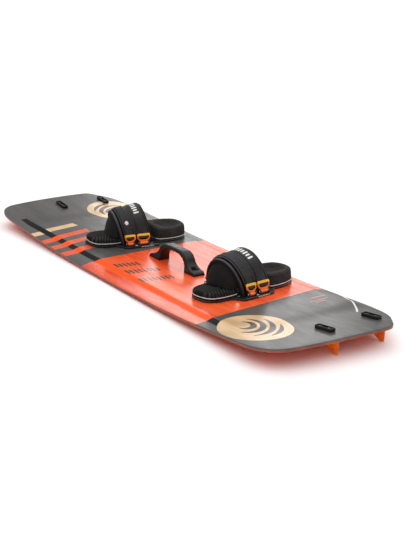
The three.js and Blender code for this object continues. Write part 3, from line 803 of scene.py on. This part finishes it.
def fin_parts():
    """A swept blade with a level tip, and its foot."""

    def tip(x):
        return -FIN_DEPTH - (x - 34) * math.tan(rocker_angle(FIN_X))

    front = curve((-44, -3), (-22, -11, 0, -25), (14, -35, 27, tip(27)), steps=9)
    rings = []
    share = np.linspace(0, 1, 19)
    chord = (1 - np.cos(share * math.pi)) / 2
    for x0, z0 in front:
        reach = z0 / tip(27)
        x1, z1 = 45 - 4 * reach, tip(41) * reach
        half = (4.6 - 2.8 * reach) * (1 - 0.25 * reach)
        bulge = half * np.sqrt(np.clip(1 - np.abs(2 * chord - 1) ** 2.6, 0, 1))
        x, z = x0 + (x1 - x0) * chord, z0 + (z1 - z0) * chord
        top = np.column_stack([x, bulge, z])
        under = np.column_stack([x, -bulge, z])[::-1][1:-1]
        rings.append(np.concatenate([top, under]))
    foot = solid(bar(92, 12, 6), [(0.5, -0.3), (0, -1), (0, -3.8), (0.4, -4.6), (1.4, -5)])
    return merge(loft_parts(rings), foot)


def build_fins():
    lift = THICKNESS + 0.5
    plate = [(0.4, 0), (0, 0.5), (0, 5.8), (0.3, 7), (0.9, 7.7), (1.7, 8), (2.5, 7.8), (3, 7.2), (3.2, 3.4),
             (3.4, 3.2)]
    for side_name, side in SIDES.items():
        for edge in ("toe", "heel"):
            under, over = fin_matrix(side, edge, -0.3), fin_matrix(side, edge, lift)
            name = f"{side_name}_{edge}"
            place(f"fin.{name}", turned(fin_parts(), under), FIN, "board", "fin", f"fin_{name}", angle=40)
            cover = turned(solid(bar(52, 18, 3.6), plate), over)
            place(f"fin_cover.{name}", cover, NYLON, "board", "nylon", f"fin_plate_{name}")
            for end_name, end in (("inner", -1), ("outer", 1)):
                seat = over @ Matrix.Translation((end * FIN_SCREW_X, 0, 3.5))
                bolt = turned(screw_parts(4.8, 3, 2.7, 18.5), seat)
                place(f"fin_bolt.{name}_{end_name}", bolt, BLACK_STEEL, "board", "steel",
                      f"fin_screw_{name}_{end_name}")
        node, length = f"handle_screw_{side_name}", 15.5
        seat = Matrix.Translation((side * HANDLE_SCREW_X, 0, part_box(node)[0].z / MM + length))
        bolt = turned(screw_parts(6.8, 4, 3, length), seat)
        place(f"handle_bolt.{side_name}", bolt, BLACK_STEEL, "board", "steel", node)


# ---- bindings, in their own frame
TOE_END = -150
HEEL_END = 172
ON_PLATE = 6.3
TOE_HEIGHT = 18
HEEL_HEIGHT = 33.5
FOOT = 6.3
HOOD_FOOT = 25.0
SPRINGING = 24
LEG = 0.07
# The strap's arch over its springing line, and its lean, shift and skew along the foot.
STRAP_HALF = 47
STRAP_RISE = 76
STRAP_TILT = 0.3
STRAP_MIDDLE = 44
STRAP_SHIFT = -18
STRAP_SKEW = 0.15
PIN_X = 69
PIN_Z = 11.5
BELT_X = 59
SPINDLE = 15.4
BARREL_INSET = 8
LEAN = math.radians(12)
BELTS = {"front": (-33, -7), "rear": (7, 41)}
# The lower and upper faces of the strap's layers, outwards from the arch.
LINER_FACES = (0.8, 6.2)
SHELL_FACES = (6.9, 10.2)
BELT_FACES = (10.8, 12.9)
BINDING_X = 250
STANCE = math.radians(5)
MOUNT_Y = 31
# Half the dish's width, half its length and its middle's y.
DISH = (41, 50, 112)


def binding_matrix(side_name):
    """The frame of a binding: origin on its stance joint, turned with the rocker and the stance."""
    side = SIDES[side_name]
    turn = Matrix.Rotation(-side * rocker_angle(BINDING_X), 4, "Y") @ Matrix.Rotation(side * STANCE, 4, "Z")
    return Matrix.Translation(Vector(JOINTS[side_name + "_stance_turn"]["pos_m"]) / MM) @ turn


PLATE_OUTLINE = mirrored(curve(
    (0, TOE_END), (38, TOE_END, 42, TOE_END + 28), (49, -104, 48, -88), (52, -72, 68, -66),
    (78, -62, 78, -54), (78, 38), (78, 50, 66, 54), (54, 60, 54, 80), (56, 118, 46, HEEL_END - 34),
    (38, HEEL_END, 0, HEEL_END), steps=10))
TOE_OUTLINE = mirrored(curve(
    (0, TOE_END + 1), (37, TOE_END + 1, 41, TOE_END + 28), (48, -104, 45.5, -66), (45, -54, 33, -54),
    (0, -54), steps=10))
HEEL_OUTLINE = mirrored(curve(
    (0, 54), (34, 54), (51, 54, 52, 74), (55, 112, 45, HEEL_END - 34), (37, HEEL_END - 1, 0, HEEL_END - 1),
    steps=10))


def toe_grooves(x, y):
    """Depth of the toe pad's grooves, from 0 to 1."""
    fade = smooth(44 - np.abs(x), 0, 4) * smooth(y, -148, -142)
    return fade * (0.5 + 0.5 * np.cos((y + 0.012 * x * x) * 2 * math.pi / 9.4)) ** 2


def dish_radius(x, y):
    """Distance from the middle of the heel pad's dish, 1 on its edge."""
    return np.sqrt((x / DISH[0]) ** 2 + ((y - DISH[2]) / DISH[1]) ** 2)


def heel_grooves(x, y):
    """Depth of the heel pad's grooves, from 0 to 1."""
    inner = 1 - smooth(dish_radius(x, y), 0.76, 0.88)
    return inner * (0.5 + 0.5 * np.cos(y * 2 * math.pi / 6.2)) ** 2


def deeper(grooves, depth):
    """A chooser of the second finish, painted shade, where grooves are deeper than a depth."""
    return lambda points: (grooves(*points.T) > depth).astype(int)


def toe_top(x, y):
    dome = 1.6 * (x / 44) ** 2 + 1.8 * smooth(-y, 104, 152) ** 2
    return ON_PLATE + TOE_HEIGHT - dome - 2.6 * toe_grooves(x, y)


def heel_top(x, y):
    dish = 7.5 * (1 - smooth(dish_radius(x, y), 0.3, 0.98))
    return ON_PLATE + HEEL_HEIGHT + 1.5 * smooth(y, 80, 165) - dish - 0.9 * heel_grooves(x, y)


def strap_y(x, y, side):
    """Where the strap's line at y lies: to the toes, and further so on the foot's inner side."""
    return y + STRAP_SHIFT + STRAP_SKEW * side * x


def strap_point(x, y, z, side):
    """The strap leans to the toes as it rises, so a point's y depends on its height."""
    return x, strap_y(x, y, side) - STRAP_TILT * (z - STRAP_MIDDLE), z


def strap_drop(y):
    """The strap is lower towards the toes."""
    return 0.16 * (48 - y)


def arch_point(s, y, offset, side):
    """A point of the strap: s runs from its foot at +X over the top to its foot at -X."""
    drop = strap_drop(y)
    if LEG <= s <= 1 - LEG:
        angle = math.pi * (s - LEG) / (1 - 2 * LEG)
        x = (STRAP_HALF + offset) * math.cos(angle)
        z = SPRINGING + (STRAP_RISE + offset) * math.sin(angle) - drop
    else:
        share = min(s, 1 - s) / LEG
        x = (STRAP_HALF + offset) * (1 if s < LEG else -1)
        z = FOOT + (SPRINGING - drop - FOOT) * share
    return strap_point(x, y, z, side)


def hood_point(u, y, offset, side):
    """A point of the liner's hood, which comes down on the toe pad: u runs from its +X to its -X edge."""
    share = max(0.0, (-STRAP_HALF - y) / 30)
    rise = STRAP_RISE * (1 - 0.64 * share ** 1.5) + offset
    drop = strap_drop(y)
    low = math.asin(min(0.98, (HOOD_FOOT - SPRINGING + drop) / rise))
    angle = low + (math.pi - 2 * low) * u
    x = (STRAP_HALF * (1 - 0.15 * share ** 1.6) + offset) * math.cos(angle)
    z = SPRINGING + rise * math.sin(angle) - drop
    return strap_point(x, y, z, side)


def strap(name, section, materials, at, side, start=0.0, end=1.0, point=arch_point, crest=math.inf):
    """A layer of the strap: a closed section of (y, offset) points along the arch.

    What stands further out than the crest has the second material, a paler painted highlight on ridges and
    lips.
    """
    shares = np.linspace(start, end, 73)
    sections = [section(share) for share in shares]
    verts, faces = loft_parts([[point(share, y, offset, side) for y, offset in points]
                               for share, points in zip(shares, sections)])
    offsets = np.array([offset for points in sections for _, offset in points])
    kinds = [int(offsets[face].mean() > crest) for face in faces]
    return make(name, verts, faces, materials, kinds, at, 40)


def band(front, back, low, high, outer=None, inner=None, steps=60, edge=1.4):
    """A section with round edges. outer and inner add to its two faces by y."""
    half = (high - low) / 2
    edge = min(edge, half)
    ys = np.linspace(front + edge, back - edge, steps)
    upper = [(y, high + (outer(y) if outer else 0)) for y in ys]
    lower = [(y, low + (inner(y) if inner else 0)) for y in ys[::-1]]

    def nose(end, way, first, last):
        """A round edge from one face's offset to the other's."""
        return [(end - way * edge * (1 - math.sin(a)), (first + last) / 2 + (first - last) / 2 * math.cos(a))
                for a in np.linspace(0, math.pi, 7)[1:-1]]

    return (upper + nose(back, 1, upper[-1][1], lower[0][1])
            + lower + nose(front, -1, lower[-1][1], upper[0][1]))


def liner_section(s):
    def outer(y):
        lip = 4.2 * smooth(-y, 40, 44) * (1 - 0.4 * smooth(-y, 47, 51))
        tail = 2.6 * smooth(y, 44, 46.5) * (1 - smooth(y, 49, 53))
        return lip + tail

    def inner(y):
        return -1.5 + 1.3 * math.cos(y * 2 * math.pi / 24)

    return band(-51, 51, *LINER_FACES, outer, inner, 66, 2.5)


def hood_section(u):
    def outer(y):
        quilting = math.cos(y * 2 * math.pi / 11) * 0.5 * smooth(-y, 50, 56)
        return 0.8 * smooth(-y, 52, 66) * math.sin(math.pi * u) + quilting

    return band(-79, -45, -4.2, 0.6, outer, None, 40, 2.3)


def shell_section(s):
    def outer(y):
        ridge = 3.6 * smooth(-y, 33.4, 35.6)
        ribs = 2.4 * abs(math.sin(math.pi * (y + 7) / 4.667)) ** 0.7 if -7 < y < 7 else 0
        tail = 2.4 * smooth(y, 41.4, 42.6)
        return ridge + ribs + tail

    return band(-38.5, 45, *SHELL_FACES, outer, None, 110, 1.4)


def belt_section(front, back):
    ribbed = back - front < 30

    def outer(y):
        hem = min(y - front, back - y)
        rib = 2.6 * abs(math.sin(math.pi * (y - front) / 5.2)) ** 0.6 if ribbed else 0
        return 0.35 * smooth(hem, 0.2, 2.0) + rib + 0.25 * math.cos((hem - 3.6) * 2.6) * (2.6 < hem < 4.6)

    return lambda s: band(front, back, *BELT_FACES, outer, None, 70, 0.9)


def patch(points, s, y, low, high, side):
    """A thin plate on the strap, from a flat outline of (along, across) points round its place."""
    rings = [[arch_point(s + a / 273, y + b, offset, side) for a, b in inset(np.asarray(points, float), d)]
             for d, offset in ((0, low), (0, high - 0.2), (0.3, high))]
    return loft_parts(rings)


def belt_middle(name):
    return sum(BELTS[name]) / 2


def belt_half(name):
    return (BELTS[name][1] - BELTS[name][0]) / 2


def barrel_half(name):
    return belt_half(name) - BARREL_INSET / 2


def buckle_y(name, sign, side):
    return strap_y(sign * BELT_X, belt_middle(name), side)


def bar_point(sign, height, out):
    """A point in the plane of a buckle: along its leaning loop from the pin, and out from the foot."""
    x = PIN_X - math.sin(LEAN) * height + math.cos(LEAN) * out
    z = PIN_Z + math.cos(LEAN) * height + math.sin(LEAN) * out
    return sign * x, z


def buckle_parts(name):
    """A loop in the YZ plane with a waist, the barrel at its foot and the spindle across its window."""
    top, waist = belt_half(name) + 4, barrel_half(name)
    outline = rounded([(waist - 2, -1), (waist, 5), (top, 13), (top, 25), (top - 2, 27.2), (2 - top, 27.2),
                       (-top, 25), (-top, 13), (-waist, 5), (2 - waist, -1)], 2.6)
    window = rounded([(4 - top, 13.5), (5 - waist, 9.6), (waist - 5, 9.6), (top - 4, 13.5), (top - 3.4, 20.4),
                      (3.4 - top, 20.4)], 1.6)
    centre = np.array((0, 15.5))

    def cast(polygon):
        """The polygon's points seen from the centre at even angles."""
        starts = polygon - centre
        sides = np.roll(starts, -1, 0) - starts
        turned_sides = np.stack([sides[:, 1], -sides[:, 0]], 1)
        seen = []
        for ray in circle(1, sides=72):
            with np.errstate(divide="ignore", invalid="ignore"):
                reach = (starts * turned_sides).sum(1) / (turned_sides @ ray)
                share = (ray[0] * starts[:, 1] - ray[1] * starts[:, 0]) / -(turned_sides @ ray)
            seen.append(centre + ray * reach[(share >= -1e-6) & (share <= 1 + 1e-6)].max())
        return np.array(seen)

    outer, hole = cast(outline), cast(window)
    section = [(outer, 0.9, -2.2), (outer, 0.25, -1.8), (outer, 0, -1), (outer, 0, 1), (outer, 0.25, 1.8),
               (outer, 0.9, 2.2), (hole, -0.8, 2.2), (hole, -0.2, 1.7), (hole, 0, 1), (hole, 0, -1),
               (hole, -0.2, -1.7), (hole, -0.8, -2.2)]
    rings = [np.column_stack([np.full(len(loop), z), inset(loop, d)]) for loop, d, z in section]
    loop_parts = loft_parts(rings, closed=True)
    long = waist - 0.1
    barrel = lathe(((3.6, -long), (4.2, 0.6 - long), (4.2, long - 0.6), (3.6, long)))
    spindle = lathe(((1.2, 2 - top), (1.2, top - 2)), SPINDLE)
    return merge(loop_parts, barrel, spindle)


def pin_parts(name):
    end = barrel_half(name) + 4.3
    return lathe(((1.2, -end - 1.1), (2.4, -end - 0.8), (3, -end - 0.1), (2, -end), (2, end), (3, end + 0.1),
                  (2.4, end + 0.8), (1.2, end + 1.1)))


BELT_HOOK = ((31, -2.9), (27, -3.3), (22.5, -3.3), (19.2, -2.0), (18.1, 0.4), (17.0, 2.0), (15.2, 2.5),
             (13.6, 1.5), (13.0, -0.4), (13.6, -2.4), (15.6, -4.2), (19, -5.3), (23, -5.5), (26, -5.3))


def belt_end_parts(name, sign, side):
    """The end of a belt: down behind the buckle's top bar, round its spindle, and back up behind."""
    hook = [bar_point(sign, *point) for point in BELT_HOOK]
    upper = [arch_point(s if sign > 0 else 1 - s, belt_middle(name), 12.6, side) for s in (0.23, 0.215, 0.2)]
    path = [(x, z, y) for x, y, z in upper]
    last_y, middle = path[-1][2], buckle_y(name, sign, side)
    path += [(x, z, last_y + (middle - last_y) * min(1, (k + 1) / 3)) for k, (x, z) in enumerate(hook)]
    path = np.array(path)
    path[1:-1] = (path[:-2] + 6 * path[1:-1] + path[2:]) / 8
    fine = np.linspace(0, len(path) - 1, 60)
    path = np.stack([np.interp(fine, np.arange(len(path)), path[:, k]) for k in range(3)], 1)
    tangent = np.gradient(path[:, :2], axis=0)
    tangent /= np.linalg.norm(tangent, axis=1)[:, None]
    normal = np.stack([-tangent[:, 1], tangent[:, 0]], 1) * -sign
    profile = bar(2 * (belt_half(name) - 1.2), 1.5, 0.7, 3)
    rings = [np.column_stack([np.full(len(profile), x) + n[0] * profile[:, 1], y + profile[:, 0],
                              np.full(len(profile), z) + n[1] * profile[:, 1]])
             for (x, z, y), n in zip(path, normal)]
    return loft_parts(rings)


def moulding(loop, height, section):
    """A bead along an outline, at a height, with a closed section of (out, up) points."""
    rings = [[(*(point + normal * out), height + up) for out, up in section]
             for point, normal in zip(loop, outward(loop))]
    return loft_parts(rings, closed=True)


TOE_RIMS = [(6, 1, 0), (4.2, 1, -0.3), (2.6, 1, -1.0), (1.3, 1, -2.2), (0.5, 1, -4.0), (0.2, 0.42, 0),
            (0.0, 0.3, 0), (0.9, 0.27, 0), (0.9, 0.2, 0), (0.1, 0.16, 0), (0.3, 0, 0.5)]
HEEL_RIMS = [(10, 1, 0), (8.6, 1, -0.3), (6.6, 1, -1.4), (4.8, 1, -3.2), (3.4, 1, -5.6), (3.2, 1, -6.8),
             (4.3, 1, -7.6), (3.2, 1, -8.6), (2.4, 1, -11), (1.2, 0.4, 0), (0.5, 0.16, 0), (0.4, 0.13, 0),
             (1.3, 0.12, 0), (1.3, 0.08, 0), (0.4, 0.06, 0), (0.5, 0, 0.4)]


def plate_top(x, y):
    return np.full(np.shape(x), ON_PLATE)


def build_pads(side_name, at):
    body = f"{side_name}_binding"
    toe_loop, heel_loop = resampled(TOE_OUTLINE, 2.4), resampled(HEEL_OUTLINE, 2.4)
    # Faces deep in the grooves take the darker foam, painted shade.
    pads = (("toe", toe_loop, TOE_RIMS, toe_top, (3.5, 1.0), deeper(toe_grooves, 0.3)),
            ("heel", heel_loop, HEEL_RIMS, heel_top, (2.6, 1.2), deeper(heel_grooves, 0.45)))
    for pad, loop, rims, top, spacing, choose in pads:
        piece = sheet(f"{pad}_pad.{side_name}", loop, rims, top, plate_top, spacing, [EVA, GROOVE_SHADE],
                      choose=choose, at=at, angle=60)
        finish(piece, body, "pad", f"{side_name}_{pad}_pad")
    bead = [(math.cos(a) * 1.1, math.sin(a) * 1.25) for a in np.arange(8) * math.pi / 4]
    for pad, loop, height in (("toe", toe_loop, 4.1), ("heel", inset(heel_loop, 0.4), 3.4)):
        piping = moulding(loop, ON_PLATE + height, bead)
        place(f"{pad}_piping.{side_name}", piping, PIPING, body, "pad", at=at)

    def bed_top(x, y):
        ribs = 1.0 * (0.5 + 0.5 * np.cos(y * 2 * math.pi / 9)) ** 3
        return ON_PLATE + 7 - ribs * smooth(43 - np.abs(x), 0, 6)

    corners = [(-44, -52.6), (44, -52.6), (46, 0), (46, 52.4), (-46, 52.4), (-46, 0)]
    bed_rims = [(1.6, 1, 0), (0.6, 1, -0.4), (0, 1, -1.4), (0, 0, 0.4), (0.4, 0, 0)]
    bed = sheet(f"foot_bed.{side_name}", resampled(rounded(corners, 5), 5), bed_rims, bed_top, plate_top,
                (6, 1.5), BED, at=at, angle=50)
    for end in (-1, 1):
        cut_away(bed, bar(26, 17, 8) + (0, end * MOUNT_Y), [(0, -3), (0, 30)], at)
    finish(bed, body, "foot_bed", f"{side_name}_foot_bed")


def build_plate(side_name, side, at):
    body = f"{side_name}_binding"
    levels = [(0.8, 0), (0, 0.7), (0, 4.6), (0.35, 5.5), (1.2, 6)]
    parts = [solid(resampled(PLATE_OUTLINE, 6), levels)]
    for sign in (1, -1):
        for name in BELTS:
            profile = [(7.6, 5.4), (6.2, 8)]
            profile += [(5.4 * math.cos(a), PIN_Z + 5.4 * math.sin(a)) for a in np.linspace(0, math.pi, 14)]
            profile += [(-6.2, 8), (-7.6, 5.4)]
            profile = np.array(profile)
            for end in (-1, 1):
                near = buckle_y(name, sign, side) + end * (barrel_half(name) + 0.3)
                rings = []
                for distance, along in ((0.7, 0), (0, 0.6), (0, 3.4), (0.7, 4)):
                    loop = inset(profile, distance)
                    y = np.full(len(loop), near + end * along)
                    rings.append(np.column_stack([sign * PIN_X + loop[:, 0], y, loop[:, 1]]))
                parts.append(loft_parts(rings))
    place(f"plate.{side_name}", merge(*parts), PLATE, body, "plate", f"{side_name}_base_plate", at=at)
    ticks = []
    for sign in (1, -1):
        gap = strap_y(sign * BELT_X, 0, side) + 0.5
        ticks += [solid(bar(8, 2.6, 0.8, 3) + (sign * 70, gap + y), [(0.1, 5.8), (0, 6.3), (0.3, 6.5)])
                  for y in (-3.2, 1.2)]
        upright = Matrix.Rotation(sign * math.pi / 2, 4, "Y") @ Matrix.Rotation(math.pi / 2, 4, "Z")
        tick = solid(bar(3.2, 2.6, 0.5, 3), [(0, -0.3), (0, 0.2), (0.2, 0.35)])
        ticks += [turned(tick, Matrix.Translation((sign * 78, -12 + 5.2 * k, 3)) @ upright) for k in range(8)]
    place(f"plate_marks.{side_name}", merge(*ticks), WHITE_PRINT_AND_REFLECTION, body, "plate", at=at)
    for edge, end in (("toe", -1), ("heel", 1)):
        seat = binding_matrix(side_name) @ Matrix.Translation((0, end * MOUNT_Y, ON_PLATE))
        bolt = turned(screw_parts(7, 4, 3, 14.4), seat)
        node = f"{side_name}_mount_screw_{edge}"
        place(f"mount_bolt.{side_name}_{edge}", bolt, STEEL, "board", "steel", node)


def build_strap(side_name, side, at):
    body = f"{side_name}_binding"
    # Ridges, ribs and the liner's lip above each crest take the paler painted highlight.
    liner = strap(f"strap_liner.{side_name}", liner_section, [LINING, RIDGE_HIGHLIGHT], at, side, crest=9.2)
    finish(liner, body, "lining", f"{side_name}_strap_liner")
    hood = strap(f"strap_hood.{side_name}", hood_section, [LINING], at, side, point=hood_point)
    finish(hood, body, "lining")
    shell = strap(f"strap_shell.{side_name}", shell_section, [SHELL, RIDGE_HIGHLIGHT], at, side, crest=11.7)
    finish(shell, body, "shell", f"{side_name}_strap_shell")
    for name, (front, back) in BELTS.items():
        section = belt_section(front, back)
        belt = strap(f"{name}_belt.{side_name}", section, [BELT, RIDGE_HIGHLIGHT], at, side, 0.19, 0.81, crest=14.4)
        finish(belt, body, "webbing", f"{side_name}_{name}_belt")
        for edge, sign in (("outer", side), ("inner", -side)):
            build_buckle(name, edge, sign, side_name, side, at)
    # The white dot on each front belt is a painted reflection, shaped like a rivet; the dashes stand in for
    # the rear belt's lettering.
    reflection_dots = [patch(circle(5.6, sides=24), 0.5 + side * 0.245, -20, 14.2, 16, side)]
    dashes = [patch(bar(5.2, 17 - 3 * (k % 2), 1, 3), 0.34 + 0.035 * k, 23, 13.0, 13.7, side)
              for k in range(10)]
    place(f"belt_print_and_reflection.{side_name}", merge(*reflection_dots, *dashes), WHITE_PRINT_AND_REFLECTION, body, "webbing", at=at)


def build_buckle(name, edge, sign, side_name, side, at):
    """A buckle on its pin, and the belt's end that runs round its spindle."""
    where = f"{side_name}_{name}_{edge}"
    body, buckle_body, pin_node = f"{side_name}_binding", f"{where}_buckle", f"{where}_pin"
    middle = buckle_y(name, sign, side)
    end = make(f"{name}_belt_end.{side_name}_{edge}", *belt_end_parts(name, sign, side), BELT, at=at)
    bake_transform(end)
    hinge = Matrix.Translation((sign * PIN_X, middle, PIN_Z)) @ Matrix.Rotation(-sign * LEAN, 4, "Y")
    verts, faces = buckle_parts(name)
    # The loop's top bar, above 20 mm, gets the paler amber: painted light where the bar's top catches the
    # lamp.
    painted_lit_top = [sum(verts[v][2] for v in face) / len(face) > 20 for face in faces]
    place(f"buckle.{where}", turned((verts, faces), hinge), [ORANGE, AMBER_PAINTED_LIGHT], buckle_body, "buckle",
          buckle_body, indices=painted_lit_top, at=at)
    pin_body = frame["nodes"][pin_node]["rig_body"]
    place(f"pin.{where}", turned(pin_parts(name), hinge), STEEL, pin_body, "steel", pin_node, at=at)


def build_bindings():
    for side_name, side in SIDES.items():
        at = in_metres(binding_matrix(side_name))
        build_plate(side_name, side, at)
        build_pads(side_name, at)
        build_strap(side_name, side, at)


# ---- floor and light
FLOOR_HALF = 150
FLOOR_DROP = 0.0005
# The light's strength by the height of a direction: from, to, and the strength at both.
SKY = (0.4, 0.75, 0.16, 1.6)
HAZE = (0.06, 0.16, 0.9, 0)


def area_light(name, place, target, size, power):
    light = bpy.data.lights.new(name, "AREA")
    light.shape = "RECTANGLE"
    light.size, light.size_y = size
    light.energy = power
    lamp = bpy.data.objects.new(name, light)
    scene.collection.objects.link(lamp)
    lamp.location = place
    lamp.rotation_euler = (Vector(target) - Vector(place)).to_track_quat("-Z", "Y").to_euler()


def build_studio():
    """A pale floor, a sky that is bright overhead with haze at the horizon, and two soft lights."""
    mesh = bpy.data.meshes.new("floor")
    corners = [(x * FLOOR_HALF, y * FLOOR_HALF, 0) for x, y in ((-1, -1), (1, -1), (1, 1), (-1, 1))]
    mesh.from_pydata(corners, [], [(0, 1, 2, 3)])
    shader = Shader("floor_white", (0.95, 0.95, 0.95), 0.5, Specular_IOR_Level=0.0)
    shader.roughen(shader.noise(3, 3), 0.45, 0.55)
    mesh.materials.append(shader.material)
    floor = bpy.data.objects.new("floor", mesh)
    floor.location.z = -FLOOR_DROP
    scene.collection.objects.link(floor)
    world = bpy.data.worlds.new("studio")
    world.use_nodes = True
    tree = world.node_tree
    split = tree.nodes.new("ShaderNodeSeparateXYZ")
    tree.links.new(tree.nodes.new("ShaderNodeTexCoord").outputs["Generated"], split.inputs[0])
    total = tree.nodes.new("ShaderNodeMath")
    tree.links.new(map_range(tree, split.outputs["Z"], *SKY, "SMOOTHSTEP"), total.inputs[0])
    tree.links.new(map_range(tree, split.outputs["Z"], *HAZE), total.inputs[1])
    tree.links.new(total.outputs[0], tree.nodes["Background"].inputs["Strength"])
    tree.nodes["Background"].inputs["Color"].default_value = (1, 1, 1, 1)
    scene.world = world
    area_light("glare", (-1.9, 1.75, 0.85), (0, 0.05, 0.1), (1.3, 0.6), 9)
    area_light("side", (1.6, -1.8, 1.6), (0.1, 0, 0.05), (1.2, 1.2), 4)
    scene.view_settings.view_transform = "Standard"


place_camera()
build_studio()
build_board()
build_handle()
build_fins()
build_bindings()
